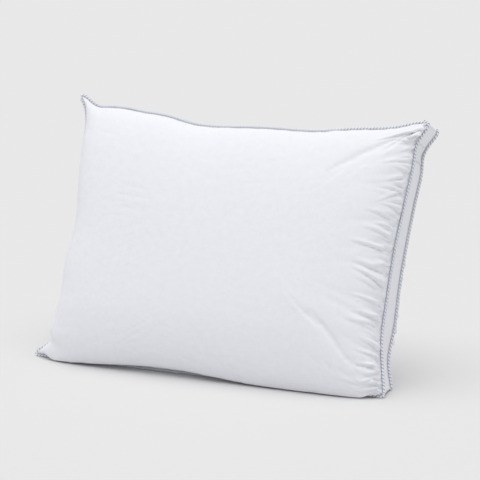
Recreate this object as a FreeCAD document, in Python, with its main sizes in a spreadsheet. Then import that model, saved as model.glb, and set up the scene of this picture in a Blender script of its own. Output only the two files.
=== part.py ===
"""Bed pillow with a boxed edge: two crowned panels of ticking joined by a four-piece side band,
a lip cord sewn into both seams, a woven label on the band, and one loose filling inside.

The pillow stands on its long lower edge and leans back, resting on the lower band and on the
flattened belly of its back panel. Every piece is drawn in the pillow's own plane: X along its
length, Y up its height and Z out of its front, with the lower seams' mid-line as the X axis.
LEAN then stands the pillow up: +Z is up, the front faces -Y and the floor is at Z = 0.
"""

import FreeCAD, Part
import math
import os

OUT = "parts"

SIZES = [
    ("seam_length", 682, "corner to corner along the seams"),
    ("seam_height", 477, "lower seams' mid-line to the top corners"),
    ("band_width", 48, "between the two seams"),
    ("lean_angle", 22.5, "backward lean from upright, degrees"),
    ("top_pull_in", 42, "how far the filling pulls the top seams in at mid-length"),
    ("side_pull_in", 22, "how far it pulls the side seams in at mid-height"),
    ("front_crown", 80, "front panel's rise above its seam"),
    ("back_crown", 84, "back panel's rise above its seam"),
    ("ticking", 0.8, "thickness of the down-proof ticking"),
    ("cord_radius", 2.2, "lip cord"),
    ("cord_gap", 0.3, "cord's surface to the seam line"),
    ("lip_thickness", 0.8, "the cord's flat lip, caught in the seam"),
    ("lip_width", 10, "the lip, from the seam line inwards"),
    ("thread_radius", 0.3, "sewing thread"),
    ("thread_gap", 0.1, "thread to the cloth that it lies on"),
    ("thread_lift", 3.2, "seam to the row of stitches above the cord"),
    ("filling_gap", 0.4, "filling to the ticking round it"),
    ("filling_draw_in", 2, "how much further the filling under the panels stays from the seams"),
    ("foot_setback", 2.4, "lower seams to the foot pressed into the lower band"),
    ("foot_slope", 6.6, "run of the foot's sloping sides"),
    ("foot_end", 34, "pillow's corners to the ends of the foot"),
    ("press_blend", 4, "height over which the back panel's belly turns flat on the floor"),
    ("label_length", 31, "woven label, along the band"),
    ("label_width", 38, "woven label, across the band"),
    ("label_thickness", 0.5, "woven label"),
    ("label_drop", 54, "top corner to the middle of the label"),
    ("label_gap", 0.1, "label to the band"),
    ("label_margin", 2, "label's border to its stitches"),
    ("closing_length", 160, "hand-closed filling opening in the left band"),
    ("closing_inset", 5, "closing stitches to the back seam"),
]

# How quickly each panel rises from its seams: (from either end, from below, from above).
FRONT_FULLNESS = (15, 13, 4)
BACK_FULLNESS = (15, 30, 2.5)
GRID_ALONG, GRID_UP = 21, 31  # points that hold each panel's surface
PLAN_STEPS = 12  # enough for plan_point to settle within a micrometre

doc = FreeCAD.newDocument("bed_pillow")
X_AXIS, Z_AXIS = FreeCAD.Vector(1, 0, 0), FreeCAD.Vector(0, 0, 1)


def make_sheet():
    """The spreadsheet that drives every size."""
    sheet = doc.addObject("Spreadsheet::Sheet", "Sizes")
    for row, (alias, amount, note) in enumerate(SIZES, start=1):
        sheet.set(f"A{row}", alias)
        sheet.set(f"B{row}", str(amount))
        sheet.set(f"C{row}", note)
        sheet.setAlias(f"B{row}", alias)
    doc.recompute()
    return sheet


sheet = make_sheet()
ALIASES = [alias for alias, _, _ in SIZES]


def from_sheet(formula):
    """The formula with every alias in it pointed at its cell."""
    return " ".join(f"Sizes.{word}" if word in ALIASES else word for word in formula.split(" "))


def value(formula):
    return float(sheet.evalExpression(from_sheet(formula)))


def bind(obj, **formulas):
    """Ties properties to the sheet; place_x, place_y and place_z stand for the object's position."""
    for prop, formula in formulas.items():
        prop = prop.replace("place_", "Placement.Base.")
        obj.setExpression(prop, from_sheet(formula))
    return obj


# Formulas and places that several pieces share.
SIDE_RADIUS = "( ( seam_height ^ 2 / 4 + side_pull_in ^ 2 ) / ( 2 * side_pull_in ) )"
TOP_RADIUS = "( ( seam_length ^ 2 / 4 + top_pull_in ^ 2 ) / ( 2 * top_pull_in ) )"
SIDE_CENTRE = f"( seam_length / 2 - side_pull_in + {SIDE_RADIUS} )"
TOP_CENTRE = f"( seam_height - top_pull_in + {TOP_RADIUS} )"
COS_LEAN, TAN_LEAN = "cos( lean_angle * 1deg )", "tan( lean_angle * 1deg )"
FOLD = f"( band_width / 2 * {TAN_LEAN} )"  # lower seams to the X axis, in the pillow's plane
SEAM_LIFT = f"( cord_radius + ( cord_radius + cord_gap ) * {COS_LEAN} )"  # above the floor
REACH = "( 2 * seam_length )"  # cutting tools extend past the whole pillow
NECK_OVERLAP = "2"  # how much further the fill's neck runs, to join the fill under the panels

HALF_BAND = value("band_width / 2")
HALF_LIP = value("lip_thickness / 2")
TICKING = value("ticking")
CLEAR = value("ticking + filling_gap")
LEAN = FreeCAD.Placement(
    FreeCAD.Vector(0, 0, value(SEAM_LIFT)), FreeCAD.Rotation(X_AXIS, 90 - value("lean_angle"))
)
UNLEAN = LEAN.inverse()


def box(name, length, width, height, x, y, z):
    """A box from formulas: its three sizes and its nearest corner."""
    solid = doc.addObject("Part::Box", name)
    return bind(solid, Length=length, Width=width, Height=height, place_x=x, place_y=y, place_z=z)


def cut(name, base, *tools):
    """The base with every tool taken away."""
    for number, tool in enumerate(tools, start=1):
        step = doc.addObject("Part::Cut", f"{name}_cut_{number}")
        step.Base, step.Tool = base, tool
        base = step
    return base


def common(name, *shapes):
    overlap = doc.addObject("Part::MultiCommon", name)
    overlap.Shapes = list(shapes)
    return overlap


def fuse(name, *shapes):
    whole = doc.addObject("Part::MultiFuse", name)
    whole.Shapes = list(shapes)
    return whole


def above_floor(name, height):
    """Everything at least this high above the floor, seen from the pillow's own plane."""
    solid = doc.addObject("Part::Box", name)
    bind(solid, Length=REACH, Width=REACH, Height=REACH)
    corner = FreeCAD.Vector(-value(REACH) / 2, -value(REACH) / 2, value(height))
    solid.Placement = UNLEAN * FreeCAD.Placement(corner, FreeCAD.Rotation())
    return solid


def hollow(name, edge, inset):
    """The round hollow outside the pillow that one pulled-in edge follows."""
    radius, x, y = {
        "right": (SIDE_RADIUS, SIDE_CENTRE, "seam_height / 2"),
        "left": (SIDE_RADIUS, f"-1 * {SIDE_CENTRE}", "seam_height / 2"),
        "top": (TOP_RADIUS, "0", TOP_CENTRE),
    }[edge]
    solid = doc.addObject("Part::Cylinder", f"{name}_{edge}")
    bind(solid, Radius=f"{radius} + {inset}", Height=REACH, place_z=f"-1 * {REACH} / 2")
    return bind(solid, place_x=x, place_y=y)


def plate(name, inset, lower, thickness, middle="0"):
    """The pillow's outline drawn in by inset, from lower upwards, as a flat plate."""
    half = f"{REACH} / 2"
    blank = box(name, REACH, REACH, thickness, f"-1 * {half}", lower, f"{middle} - ( {thickness} ) / 2")
    return cut(name, blank, *(hollow(name, edge, inset) for edge in ("right", "left", "top")))


def feature(name, shape):
    """A shape made by Part functions from the sheet's sizes."""
    made = doc.addObject("Part::Feature", name)
    made.Shape = shape
    return made


def half_length(y, inset=0.0):
    radius = value(SIDE_RADIUS) + inset
    return value(SIDE_CENTRE) - math.sqrt(radius**2 - (y - value("seam_height") / 2) ** 2)


def top_edge(x, inset=0.0):
    radius = value(TOP_RADIUS) + inset
    return value(TOP_CENTRE) - math.sqrt(radius**2 - x**2)


def lower_edge(side):
    """Height of a lower seam in the pillow's plane: side is 1 at the front, -1 at the back."""
    return -side * value(FOLD)


def plan_point(along, up, lower, inset):
    """The point that lies these shares of the way along the length and up the height."""
    y = lower + up * (value("seam_height") - lower)
    for _ in range(PLAN_STEPS):
        x = (2 * along - 1) * half_length(y, inset)
        y = lower + up * (top_edge(x, inset) - lower)
    return x, y


def rise(share, near, far):
    """0 at both ends and almost 1 between; a higher number is a quicker rise from that end."""
    return math.sqrt(max(0.0, (1 - (1 - share) ** near) * (1 - share**far)))


def rest_on_floor(point, floor):
    """The point, raised to the floor's height where it would sink below it."""
    standing = LEAN.multVec(point)
    depth, blend = standing.z - floor, value("press_blend")
    if depth < blend:
        standing.z = floor + max(0.0, depth + blend) ** 2 / (4 * blend)
    return UNLEAN.multVec(standing)


def smooth_through(rows):
    """A cubic surface held by the rows of points, which stays inside them, so flat rows stay flat."""
    knots, counts = [], []
    for number in (len(rows), len(rows[0])):
        spans = number - 3
        knots.append([float(k) for k in range(spans + 1)])
        counts.append([4] + [1] * (spans - 1) + [4])
    surface = Part.BSplineSurface()
    surface.buildFromPolesMultsKnots(rows, *counts, *knots, False, False, 3, 3)
    return surface.toShape()


def skin(side, inset, lift, draw_in=0.0):
    """A panel's crowned surface with everything inside by inset, and its outline by draw_in too.

    Its edge lies at a lift above the seam's plane."""
    crown = value("front_crown" if side > 0 else "back_crown") - inset - lift
    ends, below, above = FRONT_FULLNESS if side > 0 else BACK_FULLNESS
    rows = []
    for i in range(GRID_ALONG):
        along = (1 - math.cos(math.pi * i / (GRID_ALONG - 1))) / 2
        row = []
        for j in range(GRID_UP):
            up = (1 - math.cos(math.pi * j / (GRID_UP - 1))) / 2
            x, y = plan_point(along, up, lower_edge(side) + inset + draw_in, inset + draw_in)
            height = crown * rise(along, ends, ends) * rise(up, below, above)
            point = FreeCAD.Vector(x, y, side * (HALF_BAND + lift + height))
            row.append(rest_on_floor(point, inset))
        rows.append(row)
    return smooth_through(rows)


def rim(surface):
    return Part.Wire(Part.__sortEdges__(surface.Edges))


def closed_solid(*faces):
    solid = Part.Solid(Part.Shell(faces))
    solid.fix(1e-6, 1e-6, 1e-6)
    return solid if solid.Volume > 0 else solid.reversed()


def seam_wire(side):
    """The seam's closed line, in the pillow's plane at its own height."""
    height, lower, z = value("seam_height"), lower_edge(side), side * HALF_BAND
    half = value("seam_length / 2")
    low = half_length(lower)
    waist = half_length(height / 2)
    places = [(-low, lower), (low, lower), (waist, height / 2), (half, height)]
    places += [(0, top_edge(0)), (-half, height), (-waist, height / 2)]
    left, right, right_mid, right_top, top_mid, left_top, left_mid = (
        FreeCAD.Vector(x, y, z) for x, y in places
    )
    return Part.Wire([
        Part.LineSegment(left, right).toShape(),
        Part.Arc(right, right_mid, right_top).toShape(),
        Part.Arc(right_top, top_mid, left_top).toShape(),
        Part.Arc(left_top, left_mid, left).toShape(),
    ])


def strand(path, radius):
    """A round strand along a path that is smooth all the way."""
    edge = path.Edges[0]
    start = edge.valueAt(edge.FirstParameter)
    tangent = edge.tangentAt(edge.FirstParameter)
    ring = Part.Wire([Part.Circle(start, tangent, radius).toShape()])
    return path.makePipeShell([ring], True, True)


def panel(name, side):
    """One face of the pillow: a crowned sheet of ticking that ends flat on the cord's lip."""
    outer, inner = skin(side, 0.0, HALF_LIP), skin(side, TICKING, HALF_LIP)
    hem = Part.Face([rim(outer), rim(inner)])
    return feature(name, closed_solid(outer, inner, hem))


def crown_fill(name, side):
    """The filling under one panel, down to just above the cord's lip."""
    top = skin(side, CLEAR, value("lip_thickness / 2 + filling_gap"), value("filling_draw_in"))
    return feature(name, closed_solid(top, Part.Face(rim(top))))


def band_piece(name, edge):
    """One curved strip of the side band, its end butted against the strip above and below."""
    width = "band_width - lip_thickness"
    strip = plate(f"{name}_outer", "0", f"-1 * {REACH} / 2", width)
    strip = common(f"{name}_strip", strip, hollow(f"{name}_lining", edge, "ticking"))
    if edge != "top":
        floor = above_floor(f"{name}_floor", f"{SEAM_LIFT} + ticking")
        strip = common(f"{name}_standing", strip, floor)
        strip = cut(name, strip, hollow(f"{name}_under", "top", "ticking"))
    return strip


def foot(name, height):
    """The flat-bottomed bulge that the filling presses into the lower band, from this height up."""
    flat = f"band_width / 2 / {COS_LEAN} - foot_setback - foot_slope"
    length = "seam_length / 2 - foot_end"
    solid = doc.addObject("Part::Wedge", name)
    bind(solid, Ymin="0", Ymax=SEAM_LIFT)
    bind(solid, Xmax=length, Xmin=f"-1 * ( {length} )", Zmax=flat, Zmin=f"-1 * ( {flat} )")
    bind(solid, X2max=f"{length} + foot_slope", X2min=f"-1 * ( {length} + foot_slope )")
    bind(solid, Z2max=f"{flat} + foot_slope", Z2min=f"-1 * ( {flat} + foot_slope )")
    up = FreeCAD.Placement(FreeCAD.Vector(0, 0, value(height)), FreeCAD.Rotation(X_AXIS, 90))
    solid.Placement = UNLEAN * up
    return solid


def lower_band(name):
    """The strip that the pillow stands on: level at the seams, pressed down to the floor between."""
    level = doc.addObject("Part::Box", f"{name}_level")
    bind(level, Length=REACH, Width="4 * band_width", Height="ticking")
    corner = FreeCAD.Vector(-value(REACH) / 2, -2 * value("band_width"), value(SEAM_LIFT))
    level.Placement = UNLEAN * FreeCAD.Placement(corner, FreeCAD.Rotation())
    pressed = fuse(f"{name}_pressed", level, foot(f"{name}_foot", "0"))
    cloth = cut(f"{name}_cloth", pressed, foot(f"{name}_foot_lining", "ticking"))
    width = "band_width - lip_thickness"
    return common(name, cloth, plate(f"{name}_outline", "0", f"-1 * {REACH} / 2", width))


def cord(name, side):
    """The lip cord: a round cord just outside the seam and its flat lip caught inside it."""
    path = seam_wire(side).makeOffset2D(value("cord_radius + cord_gap"), 0, False, False, True)
    rope = feature(f"{name}_rope", strand(path, value("cord_radius")))
    low, middle = f"{-side} * {FOLD}", f"{side} * band_width / 2"
    out = "cord_radius + cord_gap"
    lip = plate(f"{name}_lip", f"-1 * ( {out} )", f"{low} - ( {out} )", "lip_thickness", middle)
    opening = plate(f"{name}_opening", "lip_width", f"{low} + lip_width", "band_width / 2", middle)
    return fuse(name, rope, cut(f"{name}_flat", lip, opening))


def seam_thread(name, side):
    """The row of stitches round the panel, lying on the ticking just above the cord."""
    out = value("thread_radius + thread_gap")
    path = seam_wire(side).makeOffset2D(out, 0, False, False, True)
    path.translate(Z_AXIS * side * value("thread_lift"))
    return feature(name, strand(path, value("thread_radius")))


def straight_thread(name, start, end):
    line = Part.Wire([Part.LineSegment(start, end).toShape()])
    return feature(name, strand(line, value("thread_radius")))


def corner_thread(name, across, up):
    """The stitches that join two strips of the band at a corner: across and up are 1 or -1."""
    out = value("thread_radius + thread_gap")
    reach = HALF_BAND - value("cord_radius") - out
    ends = []
    for z in (-reach, reach):
        corner_y = value("seam_height") if up > 0 else -z * value(TAN_LEAN)
        corner_x = across * half_length(corner_y)
        ends.append(FreeCAD.Vector(corner_x + across * out, corner_y + up * out, z))
    return straight_thread(name, *ends)


def label(name):
    """A woven label lying across the right band, near its top."""
    near = hollow(f"{name}_face", "right", "( 0 - label_gap )")
    far = hollow(f"{name}_back", "right", "( 0 - label_gap - label_thickness )")
    low = "seam_height - label_drop - label_length / 2"
    window = box(f"{name}_window", REACH, "label_length", "label_width", "0", low, "label_width / -2")
    return common(name, cut(f"{name}_layer", near, far), window)


def label_thread(name):
    """The stitches round the label: a round-cornered loop lying on it, just inside its border."""
    y = value("seam_height - label_drop")
    band = FreeCAD.Vector(half_length(y), y, 0)
    outwards = FreeCAD.Vector(value(SIDE_CENTRE), value("seam_height / 2"), 0) - band
    outwards.normalize()
    along = Z_AXIS.cross(outwards)
    middle = band + outwards * value("label_gap + label_thickness + thread_gap + thread_radius")
    half_length_in = value("label_length / 2 - 2 * label_margin")
    half_width_in = value("label_width / 2 - 2 * label_margin")
    corners = [
        middle + along * half_length_in * a + Z_AXIS * half_width_in * b
        for a, b in ((1, 1), (1, -1), (-1, -1), (-1, 1), (1, 1))
    ]
    loop = Part.makePolygon(corners).makeOffset2D(value("label_margin"), 0, False, False, True)
    return feature(name, strand(loop, value("thread_radius")))


def closing_thread(name):
    """Hand stitches that close the filling opening, half-way up the left band by the back seam."""
    half_turn = f"( closing_length / 2 / {SIDE_RADIUS} * 180 / pi )"
    thread = doc.addObject("Part::Torus", name)
    bind(thread, Radius1=f"{SIDE_RADIUS} - thread_gap - thread_radius", Radius2="thread_radius")
    bind(thread, Angle3=f"2 * {half_turn}", place_x=f"-1 * {SIDE_CENTRE}", place_y="seam_height / 2")
    bind(thread, place_z="closing_inset - band_width / 2")
    thread.Placement.Rotation = FreeCAD.Rotation(Z_AXIS, -value(half_turn))
    return thread


def filling(name):
    """One loose fill: a core between the bands, a crown under each panel, and the foot."""
    slack = "ticking + filling_gap"
    tall = "band_width + lip_thickness + 2 * filling_gap"
    short = "band_width - lip_thickness - 2 * filling_gap"
    core = plate(f"{name}_core", slack, f"-1 * {REACH} / 2", short)
    standing = above_floor(f"{name}_floor", f"{SEAM_LIFT} + {slack}")
    core = common(f"{name}_core_standing", core, standing)
    inside_lip = "lip_width + filling_gap"
    neck = plate(f"{name}_neck", inside_lip, f"{FOLD} + {inside_lip}", f"{tall} + {NECK_OVERLAP}")
    crowns = [crown_fill(f"{name}_{face}", side) for face, side in (("front", 1), ("back", -1))]
    return fuse(name, core, neck, foot(f"{name}_foot", slack), *crowns)


CORNERS = [("top_left", -1, 1), ("top_right", 1, 1), ("bottom_left", -1, -1), ("bottom_right", 1, -1)]


def make_pieces():
    """Every separate piece of the pillow, by name."""
    pieces = {"filling": filling("filling"), "band_bottom": lower_band("band_bottom")}
    for face, side in (("front", 1), ("back", -1)):
        pieces[f"{face}_panel"] = panel(f"{face}_panel", side)
        pieces[f"{face}_cord"] = cord(f"{face}_cord", side)
        pieces[f"{face}_seam_thread"] = seam_thread(f"{face}_seam_thread", side)
    for edge in ("top", "left", "right"):
        pieces[f"band_{edge}"] = band_piece(f"band_{edge}", edge)
    for corner, across, up in CORNERS:
        pieces[f"thread_{corner}"] = corner_thread(f"thread_{corner}", across, up)
    pieces["closing_thread"] = closing_thread("closing_thread")
    pieces["label"] = label("label")
    pieces["label_thread"] = label_thread("label_thread")
    return pieces


def stand_up(pieces):
    """Names each piece and stands it on the floor with the others."""
    for name, piece in pieces.items():
        piece.Label = name
        for axis in "xyz":
            piece.setExpression(f"Placement.Base.{axis}", None)
        piece.Placement = LEAN * piece.Placement
    doc.recompute()


def write(pieces):
    broken = [obj.Name for obj in doc.Objects if {"Invalid", "Error"} & set(obj.State)]
    if broken:
        raise RuntimeError(f"not recomputed: {broken}")
    os.makedirs(OUT, exist_ok=True)
    for name, piece in pieces.items():
        if piece.Shape.isNull() or not piece.Shape.isValid():
            raise RuntimeError(f"{name} has no valid shape")
        piece.Shape.exportStep(os.path.join(OUT, f"{name}.step"))


pieces = make_pieces()
doc.recompute()
stand_up(pieces)
write(pieces)
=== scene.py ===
"""Looks of the bed pillow: ticking filled by a cloth simulation, twisted lip cords, single stitches,
a blank woven label and the loose filling inside, in a plain pale studio.

The pillow is drawn in its own plane, as in the CAD: u along its length, v up its height and w out of
its front. stand_up() then leans it back on the floor. All lengths are in metres.
"""

import math

import bpy
import numpy as np
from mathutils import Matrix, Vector


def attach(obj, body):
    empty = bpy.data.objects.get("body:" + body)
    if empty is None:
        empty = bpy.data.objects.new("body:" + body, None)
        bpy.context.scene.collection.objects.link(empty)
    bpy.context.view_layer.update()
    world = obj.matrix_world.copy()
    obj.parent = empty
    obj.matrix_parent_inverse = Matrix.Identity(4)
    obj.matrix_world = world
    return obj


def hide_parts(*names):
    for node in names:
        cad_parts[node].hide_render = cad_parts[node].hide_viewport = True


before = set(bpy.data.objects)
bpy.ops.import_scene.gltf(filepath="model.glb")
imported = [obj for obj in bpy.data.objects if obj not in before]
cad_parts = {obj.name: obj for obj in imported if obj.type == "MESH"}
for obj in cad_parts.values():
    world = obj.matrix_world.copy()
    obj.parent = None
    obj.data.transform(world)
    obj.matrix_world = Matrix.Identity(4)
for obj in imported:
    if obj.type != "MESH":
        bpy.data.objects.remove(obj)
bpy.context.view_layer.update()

MM = 0.001

# The CAD's own sizes.
SEAM_LENGTH = 682 * MM
SEAM_HEIGHT = 477 * MM
BAND_WIDTH = 48 * MM
LEAN = math.radians(22.5)
TOP_PULL_IN = 42 * MM
SIDE_PULL_IN = 22 * MM
CROWN = {"front": 80 * MM, "back": 84 * MM}
FULLNESS = {"front": (15, 13, 4), "back": (15, 30, 2.5)}  # from either end, from below, from above
TICKING = 0.8 * MM
CORD_RADIUS = 2.2 * MM
CORD_GAP = 0.3 * MM
LIP_THICKNESS = 0.8 * MM
LIP_WIDTH = 10 * MM
PRESS_BLEND = 4 * MM
FOOT_SETBACK = 2.4 * MM
FOOT_SLOPE = 6.6 * MM
FOOT_END = 34 * MM
FILLING_CLEAR = 3 * MM
LIP_CLEAR = 11 * MM
THREAD_LIFT = 3.2 * MM
CLOSING_LENGTH = 160 * MM
CLOSING_INSET = 5 * MM
LABEL_LENGTH = 31 * MM
LABEL_WIDTH = 38 * MM
LABEL_THICKNESS = 0.5 * MM
LABEL_DROP = 54 * MM
LABEL_MARGIN = 2 * MM

# What only the looks need.
CORD_STEP = 0.68 * MM
CORD_LAY = 6.2 * MM
WHITE_STRAND, BLUE_STRAND = (1.25 * MM, 1.15 * MM), (0.78 * MM, 1.45 * MM)  # radius, then distance out
STRANDS = [WHITE_STRAND, WHITE_STRAND, BLUE_STRAND]
STRAND_SIDES = 8
STRAND_PROUD = 0.25 * MM
SEAM_PITCH, SEAM_STITCH, SEAM_THREAD = 6.2 * MM, 3.4 * MM, 0.42 * MM
SEAM_SLANT = math.radians(-45)
WHITE_THREAD = 0.35 * MM
CORNER_THREAD_INSET = 2.6 * MM
CORNER_PITCH, CORNER_STITCH = 3.4 * MM, 2.6 * MM
CLOSING_PITCH, CLOSING_STITCH = 4.5 * MM, 4.2 * MM
CLOSING_SLANT = math.radians(40)
LABEL_PITCH, LABEL_STITCH = 2.8 * MM, 2.0 * MM
LABEL_HEM = 0.4 * MM
LABEL_CLEAR = 0.4 * MM
YARN_PITCH = 0.5 * MM

SIDES = {"front": 1, "back": -1}
PLANE_OUT = np.array([0, -math.cos(LEAN), math.sin(LEAN)])
HALF_BAND = BAND_WIDTH / 2
FOLD = HALF_BAND * math.tan(LEAN)
SEAM_LIFT = CORD_RADIUS + (CORD_RADIUS + CORD_GAP) * math.cos(LEAN)

# How the seams wander from their smooth arcs: (place along the seam, mm outwards, spread).
SEAM_WANDER = {
    ("front", "right"): [(0.99, 6, 0.04), (0.92, -5.5, 0.05), (0.7, 2.5, 0.15), (0.2, -5.5, 0.13)],
    ("back", "right"): [(0.99, 6, 0.03), (0.9, -7, 0.05), (0.6, 2, 0.2), (0.1, -10, 0.1)],
    ("front", "top"): [
        (0, 6, 0.02), (0.055, -5, 0.025), (0.14, 5, 0.05), (0.245, 10, 0.08), (0.55, 10.5, 0.16),
        (0.8, 5, 0.08), (0.97, 3, 0.03),
    ],
    ("back", "top"): [(0.06, -5, 0.04), (0.3, 8, 0.1), (0.6, 7, 0.15), (0.93, -3, 0.04)],
    ("front", "left"): [
        (1, 9, 0.03), (0.9, -4, 0.05), (0.5, -11, 0.15), (0.22, -15, 0.1), (0.12, -8, 0.05),
        (0.055, -17, 0.03), (0, 6, 0.02),
    ],
    ("back", "left"): [(0.92, -5, 0.05), (0.5, -7, 0.2), (0.1, -9, 0.06)],
}

# Cells of the simulated cloth.
CELLS_ALONG, CELLS_UP, CELLS_ACROSS = 100, 96, 8
START_CROWN = 0.96  # the panels start this much lower than the CAD's, because they swell
SIM_FRAMES = 24
MOST_SWELL = 12 * MM
DROOP = 24 * MM
WRINKLES = 420


def arc_radius(chord, rise_at_middle):
    return (chord**2 / 4 + rise_at_middle**2) / (2 * rise_at_middle)


SIDE_RADIUS = arc_radius(SEAM_HEIGHT, SIDE_PULL_IN)
SIDE_CENTRE = SEAM_LENGTH / 2 - SIDE_PULL_IN + SIDE_RADIUS
TOP_RADIUS = arc_radius(SEAM_LENGTH, TOP_PULL_IN)
TOP_CENTRE = SEAM_HEIGHT - TOP_PULL_IN + TOP_RADIUS


def half_length(v):
    return SIDE_CENTRE - np.sqrt(SIDE_RADIUS**2 - (v - SEAM_HEIGHT / 2) ** 2)


def top_edge(u):
    return TOP_CENTRE - np.sqrt(TOP_RADIUS**2 - u**2)


def plan(along, up, side):
    """Where the shares along the length and up the height lie in the pillow's plane."""
    lower = -side * FOLD
    v = lower + up * (SEAM_HEIGHT - lower)
    for _ in range(12):
        u = (2 * along - 1) * half_length(v)
        v = lower + up * (top_edge(u) - lower)
    return u, v


def rise(share, near, far):
    """0 at both ends and almost 1 between; a higher number is a quicker rise from that end."""
    return np.sqrt(np.clip((1 - (1 - share) ** near) * (1 - share**far), 0, 1))


def wander(face, edge, share):
    """How far outwards a seam wanders at these shares of its length."""
    outwards = np.zeros_like(share)
    for place, mm, spread in SEAM_WANDER.get((face, edge), []):
        outwards += mm * MM * np.exp(-(((share - place) / spread) ** 2))
    return outwards


def stand_up(points):
    """Takes points from the pillow's plane to the floor's frame."""
    u, v, w = np.moveaxis(points, -1, 0)
    y = v * math.sin(LEAN) - w * math.cos(LEAN)
    z = v * math.cos(LEAN) + w * math.sin(LEAN) + SEAM_LIFT
    return np.stack([u, y, z], axis=-1)


def rest_on_floor(points):
    """The points, eased up to the floor where they would sink below it."""
    z = points[..., 2]
    eased = np.clip(z + PRESS_BLEND, 0, None) ** 2 / (4 * PRESS_BLEND)
    points[..., 2] = np.where(z < PRESS_BLEND, eased, z)
    return points


def smoothstep(share):
    share = np.clip(share, 0, 1)
    return share * share * (3 - 2 * share)


def even_shares(count, span, crown, near, far, finer_at_end=0.0):
    """Shares whose points lie evenly along a panel's curved section, closer towards the far end."""
    fine = (1 - np.cos(np.linspace(0, math.pi, 4001))) / 2
    steps = np.hypot(np.diff(fine) * span, np.diff(crown * rise(fine, near, far)))
    steps *= 1 + finer_at_end * smoothstep((fine[1:] - 0.55) / 0.45)
    travelled = np.concatenate([[0], np.cumsum(steps)])
    return np.interp(np.linspace(0, travelled[-1], count + 1), travelled, fine)


ALONG = even_shares(CELLS_ALONG, SEAM_LENGTH, CROWN["front"], 15, 15, finer_at_end=0.7)
UP = even_shares(CELLS_UP, SEAM_HEIGHT, CROWN["front"], 13, 4)


# ---------------------------------------------------------------- grids of the sewn case


def panel_grid(face):
    """A panel's starting points, one per corner of its cells, in the floor's frame."""
    side = SIDES[face]
    along, up = np.meshgrid(ALONG, UP, indexing="ij")
    u, v = plan(along, up, side)
    u += wander(face, "right", up) * along**4 - wander(face, "left", up) * (1 - along) ** 4
    v += wander(face, "top", along) * up**4
    ends, below, above = FULLNESS[face]
    height = START_CROWN * CROWN[face] * rise(along, ends, ends) * rise(up, below, above)
    return rest_on_floor(stand_up(np.stack([u, v, side * (HALF_BAND + height)], axis=-1)))


def perimeter(grid):
    """The grid's edge in order: bottom, right, top, left."""
    return np.concatenate([grid[:-1, 0], grid[-1, :-1], grid[:0:-1, -1], grid[0, :0:-1]])


CORNER_AT = np.cumsum([0, CELLS_ALONG, CELLS_UP, CELLS_ALONG, CELLS_UP])  # places on the perimeter
BAND_SPANS = {
    "band_bottom": (CORNER_AT[0], CORNER_AT[1]),
    "band_right": (CORNER_AT[1], CORNER_AT[2]),
    "band_top": (CORNER_AT[2], CORNER_AT[3]),
    "band_left": (CORNER_AT[3], CORNER_AT[4]),
}


def band_grid(front, back):
    """The side band's starting points, round the perimeter and across from front to back."""
    near, far = perimeter(front)[:, None], perimeter(back)[:, None]
    across = np.linspace(0, 1, CELLS_ACROSS + 1)[None, :, None]
    grid = near + (far - near) * across
    bottom = grid[: CELLS_ALONG + 1]
    inset = HALF_BAND / math.cos(LEAN) - np.abs(bottom[..., 1])
    from_end = SEAM_LENGTH / 2 - np.abs(bottom[..., 0])
    pressed = smoothstep(inset / (FOOT_SETBACK + FOOT_SLOPE)) * smoothstep(from_end / FOOT_END)
    bottom[..., 2] = SEAM_LIFT * (1 - pressed)
    return grid


def quads(ids):
    """Faces of a grid of point numbers, facing the way that axis 0 crossed with axis 1 points."""
    return np.stack([ids[:-1, :-1], ids[1:, :-1], ids[1:, 1:], ids[:-1, 1:]], axis=-1).reshape(-1, 4)


def fold_slope(edge, share):
    """How a fold that starts at this share of a seam slants: along the seam per metre away from it."""
    right = np.interp(share, (0, 0.2, 0.5, 0.7, 0.85, 1), (0.25, 0.24, 0.1, 0.06, -0.06, -0.6))
    return {"right": right, "left": 0.1, "top": 0.3 * share, "bottom": 0}[edge]


def seam_puckers(edge, from_seam, along_seam, length, gap, depth, reach, seed):
    """Small folds that run from a seam into the panel: how far each point is pushed outwards."""
    random = np.random.default_rng(seed)
    height = np.zeros_like(from_seam)
    place = gap * random.uniform(0.5, 1)
    while place < length:
        width = gap * random.uniform(0.2, 0.3)
        slope = fold_slope(edge, place / length) + random.normal(0, 0.12)
        across = (along_seam - place - slope * from_seam) / width
        fade = np.exp(-((from_seam / (reach * random.uniform(0.5, 1.4))) ** 2))
        height -= depth * random.uniform(0.5, 1.3) * np.exp(-(across**2)) * fade
        place += gap * random.uniform(0.6, 1.4)
    return height * smoothstep(from_seam / (6 * MM))


# Starting folds at each panel's seams: (edge, mm between them, mm deep, mm long).
PUCKERS = {
    "front": [("right", 21, 3.0, 65), ("left", 26, 0.6, 30), ("top", 30, 0.6, 30), ("bottom", 30, 0.7, 30)],
    "back": [("right", 24, 2.6, 60), ("left", 24, 2.6, 60), ("top", 28, 1.6, 45), ("bottom", 28, 0.5, 25)],
}


def seam_places(grid):
    """For each seam: how far each point lies from it and along it, and its length."""
    lengths = cloth_lengths(grid)
    s, t = lengths[..., 0], lengths[..., 1]
    length_s, length_t = s.max(), t.max()
    return {
        "left": (s, t, length_t),
        "right": (length_s - s, t, length_t),
        "bottom": (t, s, length_s),
        "top": (length_t - t, s, length_s),
    }


def start_folds(face, grid):
    """The panel with the first trace of the folds that its gathered seams give it."""
    places = seam_places(grid)
    push = np.zeros(grid.shape[:2])
    for number, (edge, gap, depth, reach) in enumerate(PUCKERS[face]):
        seed = 10 * number + SIDES[face] + 1
        push += seam_puckers(edge, *places[edge], gap * MM, depth * MM, reach * MM, seed)
    return rest_on_floor(grid + SIDES[face] * push[..., None] * grid_normals(grid))


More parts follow.
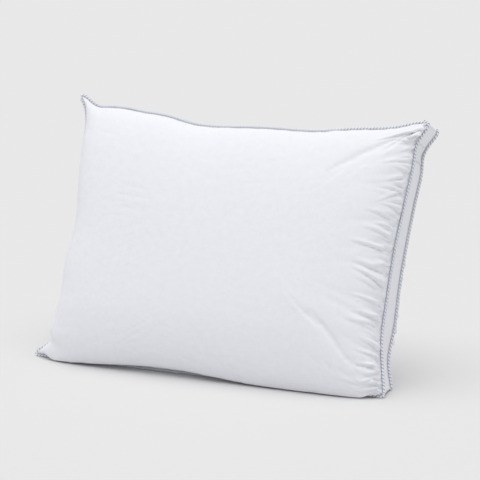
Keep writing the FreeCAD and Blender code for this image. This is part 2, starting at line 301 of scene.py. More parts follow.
def sewn_case():
    """The case's starting points, its faces, and the point numbers of each grid."""
    front, back = (start_folds(face, panel_grid(face)) for face in ("front", "back"))
    band = band_grid(front, back)
    front_ids = np.arange(front[..., 0].size).reshape(front.shape[:2])
    back_ids = front_ids + front_ids.size
    inner = band[:, 1:-1]
    inner_ids = 2 * front_ids.size + np.arange(inner[..., 0].size).reshape(inner.shape[:2])
    band_ids = np.hstack([perimeter(front_ids)[:, None], inner_ids, perimeter(back_ids)[:, None]])
    band_ids = np.vstack([band_ids, band_ids[:1]])
    points = np.concatenate([front.reshape(-1, 3), back.reshape(-1, 3), inner.reshape(-1, 3)])
    faces = np.concatenate([quads(front_ids), quads(back_ids.T), quads(band_ids.T)])
    return points, faces, front_ids, back_ids, band_ids


def slack_shares(count, front_ids, back_ids, band_ids):
    """How much spare cloth each point has, from 0 to 1: most along the right seam and its corners."""
    along, up = np.meshgrid(ALONG, UP, indexing="ij")
    right, left = (1 - along) * SEAM_LENGTH, along * SEAM_LENGTH
    top, bottom = (1 - up) * SEAM_HEIGHT, up * SEAM_HEIGHT
    near_right = np.exp(-right / (70 * MM))
    corners = np.exp(-np.hypot(right, top) / (110 * MM)) + np.exp(-np.hypot(right, bottom) / (110 * MM))
    others = sum(np.exp(-edge / (35 * MM)) for edge in (left, top, bottom))
    share = np.zeros(count)
    share[front_ids] = np.clip(1.0 * near_right + 0.3 * corners + 0.25 * others, 0, 1)
    share[back_ids] = np.clip(0.6 * near_right + 0.4 * others, 0, 1)
    share[band_ids[:, 1:-1]] = 0.35
    return share


def hold_shares(count, front_ids, back_ids, band_ids):
    """How firmly each point is held: seams and foot wholly, the panels' middles just a little."""
    along, up = np.meshgrid(ALONG, UP, indexing="ij")
    right = (1 - along) * SEAM_LENGTH
    nearest = np.minimum(np.minimum(along * SEAM_LENGTH, (1 - up) * SEAM_HEIGHT), up * SEAM_HEIGHT)
    free = np.exp(-((right / (120 * MM)) ** 2)) + 0.7 * np.exp(-((nearest / (25 * MM)) ** 2))
    middle = 0.3 * (1 - np.clip(free, 0, 1)) * (1 + 2 * smoothstep((0.4 - along) / 0.3))
    share = np.zeros(count)
    share[front_ids] = middle
    share[back_ids] = middle
    share[perimeter(front_ids)] = 1
    share[perimeter(back_ids)] = 1
    share[band_ids[: CELLS_ALONG + 1]] = 1
    share[band_ids[CORNER_AT]] = 1
    return share


def add_group(thing, name, shares):
    group = thing.vertex_groups.new(name=name)
    for number, share in enumerate(shares):
        group.add([number], share, "REPLACE")


def fill_case(points, faces, held, slack):
    """Blows the sewn case up from inside: its held points stay, and spare cloth turns into folds."""
    mesh = bpy.data.meshes.new("case")
    mesh.from_pydata(points.tolist(), [], faces.tolist())
    case = bpy.data.objects.new("case", mesh)
    bpy.context.scene.collection.objects.link(case)
    add_group(case, "held", held)
    add_group(case, "slack", slack)
    cloth = case.modifiers.new("filling", "CLOTH")
    settings = cloth.settings
    settings.quality = 6
    settings.mass = 0.3
    settings.tension_stiffness = 60
    settings.compression_stiffness = 60
    settings.shear_stiffness = 30
    settings.bending_stiffness = 0.4
    settings.tension_damping = 10
    settings.compression_damping = 10
    settings.shear_damping = 10
    settings.air_damping = 4
    settings.vertex_group_mass = "held"
    settings.pin_stiffness = 0.01
    settings.use_pressure = True
    settings.uniform_pressure_force = 3
    settings.shrink_min = 0
    settings.shrink_max = -0.08
    settings.vertex_group_shrink = "slack"
    settings.effector_weights.gravity = 0
    cloth.collision_settings.use_collision = False
    cloth.point_cache.frame_end = SIM_FRAMES
    for number in range(1, SIM_FRAMES + 1):
        bpy.context.scene.frame_set(number)
    evaluated = case.evaluated_get(bpy.context.evaluated_depsgraph_get())
    filled = np.zeros(points.size)
    evaluated.data.vertices.foreach_get("co", filled)
    filled = filled.reshape(-1, 3)
    bpy.context.scene.frame_set(1)
    bpy.data.objects.remove(case)
    swell = filled - points
    length = np.linalg.norm(swell, axis=1, keepdims=True)
    swell *= np.minimum(1, MOST_SWELL / np.maximum(length, 1e-9))
    return rest_on_floor(points + swell)


def droop(panel, along):
    """The front belly let down towards the floor, least where the photo shows the cord under it."""
    height = panel[..., 2]
    share = smoothstep((height - SEAM_LIFT) / (22 * MM)) * (1 - smoothstep((height - 30 * MM) / (95 * MM)))
    lifted = np.exp(-(((along - 0.39) / 0.2) ** 2))
    depth = DROOP * (1 - 0.66 * lifted) * smoothstep(along / 0.06) * smoothstep((1 - along) / 0.05)
    panel[..., 2] -= depth[:, None] * share
    return rest_on_floor(panel)


# ---------------------------------------------------------------- creases of the filled case

# Creases at the seams: (edge, mm between them, mm deep, mm long).
CREASES = {
    "front": [
        ("right", 14, 5.2, 60), ("right", 7, 3.8, 34), ("top", 13, 1.1, 32), ("left", 22, 0.7, 26),
        ("bottom", 18, 0.8, 30),
    ],
    "back": [
        ("right", 18, 3.0, 75), ("left", 18, 3.2, 70), ("top", 14, 1.6, 45), ("right", 9, 0.9, 35),
        ("bottom", 18, 0.8, 25),
    ],
}

# Strong folds out of the front's right corners: mm from the right seam and from the top or bottom one,
# where they start and end, then mm deep and wide.
CORNER_FOLDS = [
    ("top", (5, 6), (92, 100), 4.2, 7),
    ("top", (6, 22), (40, 82), 2.2, 5),
    ("top", (16, 6), (90, 50), 1.4, 6),
    ("bottom", (4, 10), (100, 75), 2.8, 5),
    ("bottom", (5, 24), (98, 98), 2.4, 5),
    ("bottom", (8, 42), (84, 108), 2.2, 5),
]


def crease(across, along, sharp, width):
    """The height of a crease: a sharp valley with a soft ridge on its upper side."""
    fade = smoothstep(along / 0.12) * (1 - smoothstep((along - 0.2) / 0.8))
    valley = np.exp(-np.abs(across) / sharp)
    ridge = np.exp(-(((across - 1.1 * width) / width) ** 2))
    return (0.75 * ridge - valley) * fade


def seam_creases(edge, from_seam, along_seam, length, gap, depth, reach, seed):
    """Many short creases near a seam, none of them quite like its neighbour."""
    random = np.random.default_rng(seed)
    height = np.zeros_like(from_seam)
    place = 0
    while place < length:
        start = random.uniform(0, 0.5) * reach
        long = reach * random.uniform(0.4, 1.5)
        slope = fold_slope(edge, place / length) + random.normal(0, 0.17)
        hook = random.uniform(-3, 11) * MM
        line = place + slope * from_seam - hook * np.exp(-from_seam / (20 * MM))
        deep = depth * random.uniform(0.3, 1.1)
        sharp, width = random.uniform(1.3, 2.6) * MM, random.uniform(3, 6) * MM
        height += deep * crease(along_seam - line, (from_seam - start) / long, sharp, width)
        place += gap * random.uniform(0.5, 1.5)
    return height


def soft_wrinkles(s, t, seed):
    """Faint short wrinkles all over a panel, a little stronger near its seams."""
    random = np.random.default_rng(seed)
    height = np.zeros_like(s)
    length_s, length_t = s.max(), t.max()
    for _ in range(WRINKLES):
        place_s, place_t = random.uniform(0, length_s), random.uniform(0, length_t)
        angle = random.uniform(-0.6, 0.6) + (math.pi / 2 if random.random() < 0.4 else 0)
        long, wide = random.uniform(9, 26) * MM, random.uniform(3, 6) * MM
        high = random.normal(0, 0.32) * MM
        from_edge = min(place_s, length_s - place_s, place_t, length_t - place_t)
        high *= 0.35 + math.exp(-from_edge / (60 * MM))
        ds, dt = s[:, 0] - place_s, t[0] - place_t
        rows, columns = np.abs(ds) < 3 * long, np.abs(dt) < 3 * long
        ds, dt = ds[rows][:, None], dt[columns][None]
        forward = (ds * math.cos(angle) + dt * math.sin(angle)) / long
        sideways = (dt * math.cos(angle) - ds * math.sin(angle)) / wide
        height[np.ix_(rows, columns)] += high * np.exp(-(forward**2) - sideways**2)
    return height


def corner_folds(from_right, places):
    """The strong folds that pull out of the front's right corners."""
    height = np.zeros_like(from_right)
    for edge, start, end, depth, width in CORNER_FOLDS:
        start, end = np.array(start) * MM, np.array(end) * MM
        run = np.linalg.norm(end - start)
        direction = (end - start) / run
        from_start = from_right - start[0], places[edge][0] - start[1]
        along = from_start[0] * direction[0] + from_start[1] * direction[1]
        across = from_start[1] * direction[0] - from_start[0] * direction[1]
        across = across + 0.1 * along * (along / run)  # the fold bends a little towards its end
        height += depth * MM * crease(across, along / run, 2.4 * MM, width * MM)
    return height


def creased(face, grid):
    """The filled panel with its creases and wrinkles."""
    places = seam_places(grid)
    push = soft_wrinkles(places["left"][0], places["left"][1], 5 + SIDES[face])
    for number, (edge, gap, depth, reach) in enumerate(CREASES[face]):
        seed = 40 + 10 * number + SIDES[face]
        push += seam_creases(edge, *places[edge], gap * MM, depth * MM, reach * MM, seed)
    if face == "front":
        push += corner_folds(places["right"][0], places)
    nearest = np.min([places[edge][0] for edge in places], axis=0)
    push *= smoothstep(nearest / (7 * MM))
    return rest_on_floor(grid + SIDES[face] * push[..., None] * grid_normals(grid))


# ---------------------------------------------------------------- meshes from grids


def refine(grid, axes=(0, 1)):
    """The grid with a point added between each two along these axes, on smooth curves."""
    for axis in axes:
        grid = np.moveaxis(grid, axis, 0)
        first, last = 2 * grid[:1] - grid[1:2], 2 * grid[-1:] - grid[-2:-1]
        padded = np.concatenate([first, grid, last])
        between = (9 * (padded[1:-2] + padded[2:-1]) - padded[:-3] - padded[3:]) / 16
        finer = np.empty((2 * len(grid) - 1, *grid.shape[1:]))
        finer[0::2] = grid
        finer[1::2] = between
        grid = np.moveaxis(finer, 0, axis)
    return grid


def distances(line):
    """How far along a line of points each of them lies. Columns after the third don't count."""
    steps = np.linalg.norm(np.diff(line[:, :3], axis=0), axis=1)
    return np.concatenate([[0], np.cumsum(steps)])


def unit(vectors):
    return vectors / np.maximum(np.linalg.norm(vectors, axis=-1, keepdims=True), 1e-12)


def grid_normals(grid):
    return unit(np.cross(np.gradient(grid, axis=0), np.gradient(grid, axis=1)))


def add_mesh(name, points, faces, materials, uv=None, face_material=None):
    """A smooth mesh piece that rides on the pillow's one body."""
    mesh = bpy.data.meshes.new(name)
    mesh.from_pydata(np.asarray(points).tolist(), [], [list(map(int, face)) for face in faces])
    if uv is not None:
        corner_points = np.zeros(len(mesh.loops), np.int32)
        mesh.loops.foreach_get("vertex_index", corner_points)
        layer = mesh.uv_layers.new(name="cloth")
        layer.uv.foreach_set("vector", uv[corner_points].astype(np.float32).ravel())
    for material in materials:
        mesh.materials.append(material)
    if face_material is not None:
        mesh.polygons.foreach_set("material_index", np.asarray(face_material, np.int32))
    mesh.polygons.foreach_set("use_smooth", np.ones(len(mesh.polygons), bool))
    mesh.update()
    piece = bpy.data.objects.new(name, mesh)
    bpy.context.scene.collection.objects.link(piece)
    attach(piece, "root")
    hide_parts(name.removesuffix("_piece"))
    return piece


def cloth_lengths(grid):
    """Flat coordinates of a grid's points, measured along its middle lines."""
    middle_row = grid[:, grid.shape[1] // 2]
    middle_column = grid[grid.shape[0] // 2]
    flat = distances(middle_row), distances(middle_column)
    return np.stack(np.meshgrid(*flat, indexing="ij"), axis=-1)


def cloth_shell(name, grid, thickness, material):
    """A closed sheet of cloth: the grid is its outer face, and its inner face has half as many rows."""
    inner = (grid - thickness * grid_normals(grid))[::2, ::2]
    ids = np.arange(grid[..., 0].size).reshape(grid.shape[:2])
    inner_ids = ids.size + np.arange(inner[..., 0].size).reshape(inner.shape[:2])
    rim, inner_rim = perimeter(ids), perimeter(inner_ids)
    edge = [rim[::2], inner_rim, np.roll(inner_rim, -1), np.roll(rim[::2], -1), rim[1::2]]
    faces = [*quads(ids), *quads(inner_ids.T), *np.stack(edge, axis=-1)]
    points = np.concatenate([grid.reshape(-1, 3), inner.reshape(-1, 3)])
    flat = cloth_lengths(grid)
    uv = np.concatenate([flat.reshape(-1, 2), flat[::2, ::2].reshape(-1, 2)])
    piece = add_mesh(name + "_piece", points, faces, [material], uv)
    return piece


def filling_piece(points, faces, material):
    """The loose filling: the case's own shape, clear of the cloth and of the cords' lips."""
    corners = points[faces]
    face_normals = np.cross(corners[:, 2] - corners[:, 0], corners[:, 3] - corners[:, 1])
    normals = np.zeros_like(points)
    for corner in range(4):
        np.add.at(normals, faces[:, corner], face_normals)
    shape = points - FILLING_CLEAR * unit(normals)
    middle = (shape.max(axis=0) + shape.min(axis=0)) / 2
    reach = np.array([SEAM_LENGTH, SEAM_HEIGHT, SEAM_HEIGHT]) / 2
    shape = middle + (shape - middle) * (1 - LIP_CLEAR / reach)
    shape[:, 2] = np.maximum(shape[:, 2], FILLING_CLEAR)
    piece = add_mesh("filling_piece", shape, faces, [material])
    return piece


# ---------------------------------------------------------------- cords, threads and label


def resampled(line, step, closed=True):
    """Points evenly along a line, about step apart. Columns after the third go with them."""
    whole = np.vstack([line, line[:1]]) if closed else line
    travelled = distances(whole)
    count = round(travelled[-1] / step)
    at = np.arange(count) * travelled[-1] / count
    return np.stack([np.interp(at, travelled, column) for column in whole.T], axis=1)


def smooth_loop(points, spread):
    """The closed line with its corners rounded over about this many points."""
    frequency = np.fft.rfftfreq(len(points))[:, None]
    weight = np.exp(-2 * (math.pi * frequency * spread) ** 2)
    return np.fft.irfft(np.fft.rfft(points, axis=0) * weight, len(points), axis=0)


def loop_frame(path, out):
    """Along, sideways and outwards at each point of a closed path."""
    tangent = unit(np.roll(path, -1, axis=0) - np.roll(path, 1, axis=0))
    side = unit(np.cross(tangent, out))
    return tangent, side, np.cross(side, tangent)


def cord_path(panel):
    """The cord's middle line: the seam moved outwards, rounded at the corners."""
    seam = perimeter(panel)
    outward = loop_frame(seam, PLANE_OUT)[1]
    path = resampled(seam + (CORD_RADIUS + CORD_GAP) * outward, CORD_STEP)
    path = smooth_loop(path, 3 * MM / CORD_STEP)
    path[:, 2] = np.maximum(path[:, 2], CORD_RADIUS + STRAND_PROUD)
    return path


def wound(path, radius, turns, phase):
    """The middle line of a strand that winds round a closed path."""
    _, side, up = loop_frame(path, PLANE_OUT)
    angle = 2 * math.pi * (turns * np.arange(len(path)) / len(path) + phase)[:, None]
    return path + radius * (np.cos(angle) * side + np.sin(angle) * up)


def tube(path, radius, sides):
    """Points and faces of a round tube along a closed path."""
    _, side, up = loop_frame(path, PLANE_OUT)
    angle = 2 * math.pi * np.arange(sides)[:, None] / sides
    ring = np.cos(angle) * side[:, None] + np.sin(angle) * up[:, None]
    ids = np.pad(np.arange(len(path) * sides).reshape(-1, sides), ((0, 1), (0, 1)), mode="wrap")
    return (path[:, None] + radius * ring).reshape(-1, 3), quads(ids)


def joined(parts):
    """Several sets of points and faces as one."""
    counts = np.cumsum([0] + [len(points) for points, _ in parts])
    points = np.concatenate([points for points, _ in parts])
    faces = [face + count for (_, part), count in zip(parts, counts) for face in part]
    return points, faces


def cord_piece(face, panel, materials):
    """A rope of two white strands and a blue-grey one, and its lip."""
    path = cord_path(panel)
    turns = round(len(path) * CORD_STEP / CORD_LAY)
    parts = [lip(face, perimeter(panel))]
    slots = [0] * len(parts[0][1])
    for number, (radius, out) in enumerate(STRANDS):
        parts.append(tube(wound(path, out, turns, number / len(STRANDS)), radius, STRAND_SIDES))
        slots += [int(STRANDS[number] is BLUE_STRAND)] * len(parts[-1][1])
    points, faces = joined(parts)
    return add_mesh(f"{face}_cord_piece", points, faces, materials, face_material=slots)


def lip(face, seam):
    """Points and faces of the cord's flat tape, caught between the panel and the band."""
    middle = seam - SIDES[face] * LIP_THICKNESS / 2 * PLANE_OUT
    outward = loop_frame(middle, PLANE_OUT)[1]
    half = 0.45 * LIP_THICKNESS * PLANE_OUT
    outer, inner = middle + (CORD_GAP + CORD_RADIUS) * outward, middle - LIP_WIDTH * outward
    section = np.stack([outer + half, outer - half, inner - half, inner + half], axis=1)
    section[..., 2] = np.maximum(section[..., 2], STRAND_PROUD)
    ids = np.pad(np.arange(section[..., 0].size).reshape(-1, 4), ((0, 1), (0, 1)), mode="wrap")
    return section.reshape(-1, 3), quads(ids.T)


def stitch_mesh(middles, directions, outs, length, radius):
    """Points and faces of separate stitches, each a short arched thread that dips into the cloth."""
    spread = np.array([-0.5, -0.36, 0, 0.36, 0.5])[:, None] * length
    lift = np.array([-0.9, 0.35, 0.75, 0.35, -0.9])[:, None] * radius
    width = np.array([0.7, 1, 1, 1, 0.7])[:, None, None] * radius
    middle = middles[:, None] + directions[:, None] * spread + outs[:, None] * lift
    side = np.cross(directions, outs)
    angle = (2 * math.pi * np.arange(6) / 6)[:, None]
    ring = np.cos(angle) * side[:, None] + np.sin(angle) * outs[:, None]
    points = middle[:, :, None] + width * ring[:, None]
    faces = []
    for ids in np.arange(points[..., 0].size).reshape(-1, 5, 6):
        faces.extend(quads(np.hstack([ids, ids[:, :1]])))
        faces.append(ids[0])
        faces.append(ids[-1, ::-1])
    return points.reshape(-1, 3), faces


def stitch_row(line, pitch, length, radius, slant, closed=True):
    """Stitches along a line whose columns are a point and the cloth's normal there."""
    row = resampled(line, pitch, closed)
    points, outs = row[:, :3], unit(row[:, 3:])
    if closed:
        tangent = np.roll(points, -1, axis=0) - np.roll(points, 1, axis=0)
    else:
        tangent = np.gradient(points, axis=0)
    tangent = unit(tangent - (tangent * outs).sum(axis=1, keepdims=True) * outs)
    direction = math.cos(slant) * tangent + math.sin(slant) * np.cross(outs, tangent)
    return stitch_mesh(points, direction, outs, length, radius)


def with_normals(grid, side=1):
    return np.concatenate([grid, side * grid_normals(grid)], axis=-1)


def along_lanes(lanes, distance):
    """The point and normal at this distance along each lane of points."""
    return np.array([[np.interp(distance, distances(lane), column) for column in lane.T] for lane in lanes])


def inset_line(grid, distance):
    """A closed line at this distance inside the seams of a grid that carries its normals."""
    near, far = slice(None, 12), slice(None, -13, -1)  # the first points inwards from a seam
    kept = slice(3, -3)  # leaves out the corners
    bottom = along_lanes(grid[kept, near], distance)
    right = along_lanes(grid[far, kept].swapaxes(0, 1), distance)
    top = along_lanes(grid[kept, far], distance)[::-1]
    left = along_lanes(grid[near, kept].swapaxes(0, 1), distance)[::-1]
    return np.concatenate([bottom, right, top, left])


def seam_thread_piece(face, panel, material):
    line = inset_line(with_normals(panel, SIDES[face]), THREAD_LIFT)
    points, faces = stitch_row(line, SEAM_PITCH, SEAM_STITCH, SEAM_THREAD, SEAM_SLANT)
    return add_mesh(f"{face}_seam_thread_piece", points, faces, [material])


def grid_places(grid, rows, columns):
    """Points of a grid at fractional row and column numbers."""
    row = np.clip(np.floor(rows).astype(int), 0, grid.shape[0] - 2)
    column = np.clip(np.floor(columns).astype(int), 0, grid.shape[1] - 2)
    down, over = (rows - row)[..., None], (columns - column)[..., None]
    near = grid[row, column] * (1 - over) + grid[row, column + 1] * over
    far = grid[row + 1, column] * (1 - over) + grid[row + 1, column + 1] * over
    return near * (1 - down) + far * down


def on_band(band, from_front, from_start):
    """Points and normals of a band strip, by metres from its front seam and from its start."""
    lengths = cloth_lengths(band)
    across, along = lengths[:, 0, 0], lengths[0, :, 1]
    rows = np.interp(from_front, across, np.arange(len(across)))
    columns = np.interp(from_start, along, np.arange(len(along)))
    return grid_places(with_normals(band), rows, columns)


def corner_thread_piece(name, band, at_end, material):
    """White stitches across the band beside a corner seam."""
    length = cloth_lengths(band)[0, -1, 1]
    place = length - CORNER_THREAD_INSET if at_end else CORNER_THREAD_INSET
    across = np.linspace(2 * CORD_RADIUS, BAND_WIDTH - 2 * CORD_RADIUS, 40)
    line = on_band(band, across, np.full_like(across, place))
    points, faces = stitch_row(line, CORNER_PITCH, CORNER_STITCH, WHITE_THREAD, 0, closed=False)
    return add_mesh(f"{name}_piece", points, faces, [material])


def closing_thread_piece(band, material):
    """Slanting hand stitches over the seam that closes the filling opening."""
    middle = cloth_lengths(band)[0, -1, 1] / 2
    along = np.linspace(middle - CLOSING_LENGTH / 2, middle + CLOSING_LENGTH / 2, 120)
    line = on_band(band, np.full_like(along, BAND_WIDTH - CLOSING_INSET), along)
    points, faces = stitch_row(
        line, CLOSING_PITCH, CLOSING_STITCH, WHITE_THREAD, CLOSING_SLANT, closed=False
    )
    return add_mesh("closing_thread_piece", points, faces, [material])


def label_places(band, across, along, lift):
    """Points and normals lifted off the right band, by metres from the label's own middle."""
    top = cloth_lengths(band)[0, -1, 1]
    places = on_band(band, BAND_WIDTH / 2 + across, top - LABEL_DROP + along)
    places[..., :3] += lift * unit(places[..., 3:])
    return places


def label_piece(band, material):
    """The woven label: its short ends are folded under, so they stand a little prouder."""
    across, along = np.meshgrid(
        np.linspace(-0.5, 0.5, 25) * LABEL_WIDTH, np.linspace(-0.5, 0.5, 37) * LABEL_LENGTH, indexing="ij"
    )
    from_end = LABEL_LENGTH / 2 - np.abs(along)
    ripple = 0.3 * MM * np.sin(across / LABEL_WIDTH * 9) * np.cos(along / LABEL_LENGTH * 7)
    hem = LABEL_HEM * smoothstep((5 * MM - from_end) / (1.5 * MM))
    lift = LABEL_THICKNESS + LABEL_CLEAR + hem + ripple
    grid = label_places(band, across, along, lift[..., None])[..., :3]
    return cloth_shell("label", grid, LABEL_THICKNESS, material)


def label_thread_piece(band, material):
    half_wide, half_long = LABEL_WIDTH / 2 - LABEL_MARGIN, LABEL_LENGTH / 2 - LABEL_MARGIN
    corners = np.array([(-1, -1), (1, -1), (1, 1), (-1, 1), (-1, -1)]) * (half_wide, half_long)
    steps = np.linspace(0, 4, 161)
    across = np.interp(steps, np.arange(5), corners[:, 0])
    along = np.interp(steps, np.arange(5), corners[:, 1])
    line = label_places(band, across, along, LABEL_THICKNESS + LABEL_CLEAR + LABEL_HEM)
    points, faces = stitch_row(line[:-1], LABEL_PITCH, LABEL_STITCH, 0.8 * WHITE_THREAD, 0)
    return add_mesh("label_thread_piece", points, faces, [material])


# ---------------------------------------------------------------- materials


def new_material(name, colour, roughness, sheen):
    material = bpy.data.materials.new(name)
    material.use_nodes = True
    shader = material.node_tree.nodes["Principled BSDF"]
    shader.inputs["Base Color"].default_value = (*colour, 1)
    shader.inputs["Roughness"].default_value = roughness
    shader.inputs["Sheen Weight"].default_value = sheen
    shader.inputs["Sheen Roughness"].default_value = 0.5
    shader.inputs["Specular IOR Level"].default_value = 0.25
    return material, material.node_tree, shader


def add_node(tree, kind, inputs, **settings):
    """A node with its inputs, each a value or another node's output."""
    node = tree.nodes.new(kind)
    for name, value in settings.items():
        setattr(node, name, value)
    for name, value in inputs.items():
        if isinstance(value, bpy.types.NodeSocket):
            tree.links.new(value, node.inputs[name])
        else:
            node.inputs[name].default_value = value
    return node


def place_in(tree, where, scale):
    """Texture coordinates in metres, in the cloth's own flat directions or in the pillow's space."""
    if where == "cloth":
        source = add_node(tree, "ShaderNodeUVMap", {}, uv_map="cloth").outputs["UV"]
    else:
        source = add_node(tree, "ShaderNodeTexCoord", {}).outputs["Object"]
    return add_node(tree, "ShaderNodeMapping", {"Vector": source, "Scale": scale}).outputs["Vector"]


def noise(tree, where, scale, detail=2, roughness=0.5):
    place = place_in(tree, where, scale)
    inputs = {"Vector": place, "Scale": 1, "Detail": detail, "Roughness": roughness}
    return add_node(tree, "ShaderNodeTexNoise", inputs).outputs["Fac"]


def yarns(tree, pitch, direction):
    """Rounded yarns side by side across the cloth's X or Y."""
    place = place_in(tree, "cloth", (1, 1, 1))
    inputs = {"Vector": place, "Scale": math.pi / (10 * pitch), "Distortion": 0.4, "Detail": 1}
    return add_node(tree, "ShaderNodeTexWave", inputs, bands_direction=direction).outputs["Fac"]


def ramp(tree, factor, low, high, dark, light):
    """Turns a factor into a colour that goes from dark at low to light at high."""
    node = add_node(tree, "ShaderNodeValToRGB", {"Fac": factor})
    for element, position, colour in zip(node.color_ramp.elements, (low, high), (dark, light)):
        element.position = position
        element.color = (*colour, 1)
    return node.outputs["Color"]


def math_node(tree, operation, first, second):
    node = tree.nodes.new("ShaderNodeMath")
    node.operation = operation
    for number, value in enumerate((first, second)):
        if isinstance(value, bpy.types.NodeSocket):
            tree.links.new(value, node.inputs[number])
        else:
            node.inputs[number].default_value = value
    return node.outputs["Value"]


def roughen(tree, shader, layers):
    """Bumps on top of each other: (height, how high in metres, strength)."""
    normal = None
    for height, distance, strength in layers:
        inputs = {"Height": height, "Distance": distance, "Strength": strength}
        if normal is not None:
            inputs["Normal"] = normal
        normal = add_node(tree, "ShaderNodeBump", inputs).outputs["Normal"]
    tree.links.new(normal, shader.inputs["Normal"])


def ticking_material():
    """Close-woven white cotton: fine warp and weft, thicker yarns here and there, a faint crumple."""
    light, dark = (0.905, 0.91, 0.955), (0.865, 0.872, 0.925)
    material, tree, shader = new_material("ticking", light, 0.85, 0.12)
    weave = math_node(tree, "ADD", yarns(tree, YARN_PITCH, "X"), yarns(tree, YARN_PITCH, "Y"))
    slub_along = noise(tree, "cloth", (55, 1500, 1))
    slub_across = noise(tree, "cloth", (1500, 55, 1))
    slubs = math_node(tree, "MAXIMUM", slub_along, slub_across)
    crumple = noise(tree, "cloth", (75, 75, 1), detail=4, roughness=0.6)
    tint = math_node(tree, "MULTIPLY", slubs, math_node(tree, "ADD", crumple, 0.5))
    tree.links.new(ramp(tree, tint, 0.45, 0.75, light, dark), shader.inputs["Base Color"])
    uneven = math_node(tree, "ADD", math_node(tree, "MULTIPLY", crumple, 0.25), 0.7)
    tree.links.new(uneven, shader.inputs["Roughness"])
    roughen(tree, shader, [(crumple, 1.6 * MM, 0.35), (slubs, 0.35 * MM, 0.3), (weave, 0.15 * MM, 0.2)])
    return material


def yarn_material(name, light, dark, fuzz):
    """Twisted yarn: fine fibres, with painted highlights where they stand up and painted shade in the
    darker gaps between them.
    """
    material, tree, shader = new_material(name, light, 0.75, fuzz)
    fibres = noise(tree, "pillow", (1600, 1600, 1600), detail=2)
    patches = noise(tree, "pillow", (160, 160, 160), detail=1)
    fine, coarse = math_node(tree, "MULTIPLY", fibres, 0.6), math_node(tree, "MULTIPLY", patches, 0.4)
    both = math_node(tree, "ADD", fine, coarse)
    # painted highlight and painted shade: the colour is lighter where the fibre and patch bumps stand up
    # and darker between them
    tree.links.new(ramp(tree, both, 0.35, 0.65, dark, light), shader.inputs["Base Color"])
    roughen(tree, shader, [(patches, 0.3 * MM, 0.2), (fibres, 0.2 * MM, 0.35)])
    return material


def label_material():
    """Woven satin tape: fine ribs across, close rows along, a soft gloss."""
    light, dark = (0.93, 0.935, 0.95), (0.84, 0.85, 0.88)
    material, tree, shader = new_material("label_cloth", light, 0.45, 0.1)
    ribs = yarns(tree, 0.7 * MM, "X")
    rows = yarns(tree, 0.35 * MM, "Y")
    uneven = noise(tree, "cloth", (300, 900, 1))
    tree.links.new(ramp(tree, uneven, 0.35, 0.7, light, dark), shader.inputs["Base Color"])
    roughen(tree, shader, [(ribs, 0.15 * MM, 0.4), (rows, 0.1 * MM, 0.25)])
    return material


def fibre_material():
    """Loose fibre filling: soft tufts."""
    light, dark = (0.86, 0.86, 0.84), (0.7, 0.7, 0.68)
    material, tree, shader = new_material("fibre", light, 0.95, 0.3)
    tufts = noise(tree, "pillow", (45, 45, 45), detail=6, roughness=0.65)
    tree.links.new(ramp(tree, tufts, 0.35, 0.6, dark, light), shader.inputs["Base Color"])
    roughen(tree, shader, [(tufts, 6 * MM, 0.7)])
    return material


# ---------------------------------------------------------------- studio

CAMERA_TARGET = Vector((0.0555, 0, 0.2498))
CAMERA_DISTANCE = 4.5
CAMERA_AZIMUTH = math.radians(25.54)
CAMERA_ELEVATION = math.radians(11.65)
CAMERA_LENS = 190.5
FLOOR_HALF = 20
FLOOR_GREY = 0.737
AMBIENT = 0.6
LAMP_STRENGTH = 1.56
LAMP_SPREAD = math.radians(62)
LAMP_FROM = Vector((-0.05, -0.06, 1))


def make_camera():
    camera = bpy.data.objects.new("camera", bpy.data.cameras.new("camera"))
    bpy.context.scene.collection.objects.link(camera)
    back = Vector((
        math.sin(CAMERA_AZIMUTH) * math.cos(CAMERA_ELEVATION),
        -math.cos(CAMERA_AZIMUTH) * math.cos(CAMERA_ELEVATION),
        math.sin(CAMERA_ELEVATION),
    ))
    camera.location = CAMERA_TARGET + back * CAMERA_DISTANCE
    camera.rotation_mode = "QUATERNION"
    camera.rotation_quaternion = (-back).to_track_quat("-Z", "Y")
    camera.data.lens = CAMERA_LENS
    camera.data.clip_end = 100
    bpy.context.scene.camera = camera


def make_floor():
    mesh = bpy.data.meshes.new("floor")
    corners = [(x * FLOOR_HALF, y * FLOOR_HALF, 0) for x, y in ((-1, -1), (1, -1), (1, 1), (-1, 1))]
    mesh.from_pydata(corners, [], [(0, 1, 2, 3)])
    floor = bpy.data.objects.new("floor", mesh)
    material, _, shader = new_material("floor", (FLOOR_GREY, FLOOR_GREY, FLOOR_GREY), 1, 0)
    shader.inputs["Specular IOR Level"].default_value = 0
    mesh.materials.append(material)
    bpy.context.scene.collection.objects.link(floor)


def make_lights():
    world = bpy.data.worlds.new("studio")
    world.use_nodes = True
    background = world.node_tree.nodes["Background"]
    background.inputs["Color"].default_value = (1, 1, 1, 1)
    background.inputs["Strength"].default_value = AMBIENT
    bpy.context.scene.world = world
    lamp = bpy.data.lights.new("overhead", "SUN")
    lamp.energy = LAMP_STRENGTH
    lamp.angle = LAMP_SPREAD
    overhead = bpy.data.objects.new("overhead", lamp)
    overhead.rotation_mode = "QUATERNION"
    overhead.rotation_quaternion = LAMP_FROM.to_track_quat("Z", "Y")
    bpy.context.scene.collection.objects.link(overhead)
    bpy.context.scene.view_settings.view_transform = "Standard"


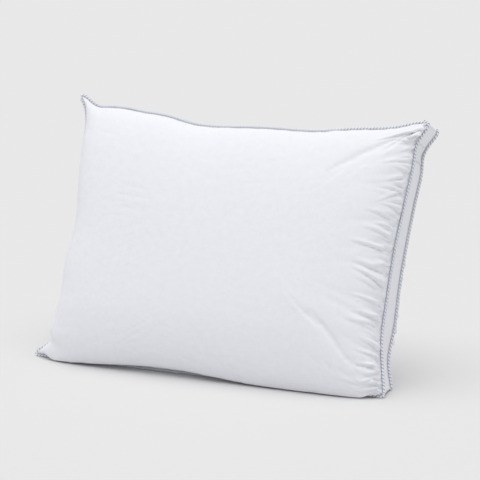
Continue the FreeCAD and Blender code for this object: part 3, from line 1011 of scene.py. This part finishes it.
# ---------------------------------------------------------------- the whole scene

make_camera()
make_floor()
make_lights()

points, faces, front_ids, back_ids, band_ids = sewn_case()
held = hold_shares(len(points), front_ids, back_ids, band_ids)
slack = slack_shares(len(points), front_ids, back_ids, band_ids)
points = fill_case(points, faces, held, slack)

points[front_ids] = droop(points[front_ids], ALONG)
panels = {
    face: creased(face, refine(points[ids], axes=(0, 1, 1))) + SIDES[face] * LIP_THICKNESS / 2 * PLANE_OUT
    for face, ids in (("front", front_ids), ("back", back_ids))
}
across_shift = np.linspace(-1, 1, 2 * CELLS_ACROSS + 1)[:, None, None] * LIP_THICKNESS / 2 * PLANE_OUT
bands = {
    name: refine(points[band_ids[start : end + 1]].transpose(1, 0, 2)) + across_shift
    for name, (start, end) in BAND_SPANS.items()
}

ticking = ticking_material()
cord_white = yarn_material("cord_white", (0.93, 0.935, 0.96), (0.8, 0.81, 0.85), 0.1)
cord_blue = yarn_material("cord_blue", (0.4, 0.45, 0.57), (0.29, 0.33, 0.44), 0.05)
blue_thread = yarn_material("blue_thread", (0.6, 0.64, 0.74), (0.48, 0.53, 0.64), 0.05)
white_thread = yarn_material("white_thread", (0.9, 0.905, 0.93), (0.76, 0.77, 0.8), 0.1)
label_cloth = label_material()

cloth_shell("front_panel", panels["front"], TICKING, ticking)
cloth_shell("back_panel", panels["back"][::-1], TICKING, ticking)
for name, band in bands.items():
    cloth_shell(name, band, TICKING, ticking)
filling_piece(points, faces, fibre_material())
for face in ("front", "back"):
    cord_piece(face, panels[face], [cord_white, cord_blue])
    seam_thread_piece(face, panels[face], blue_thread)
corner_thread_piece("thread_bottom_right", bands["band_right"], False, white_thread)
corner_thread_piece("thread_top_right", bands["band_right"], True, white_thread)
corner_thread_piece("thread_top_left", bands["band_left"], False, white_thread)
corner_thread_piece("thread_bottom_left", bands["band_left"], True, white_thread)
closing_thread_piece(bands["band_left"], white_thread)
label_piece(bands["band_right"], label_cloth)
label_thread_piece(bands["band_right"], white_thread)
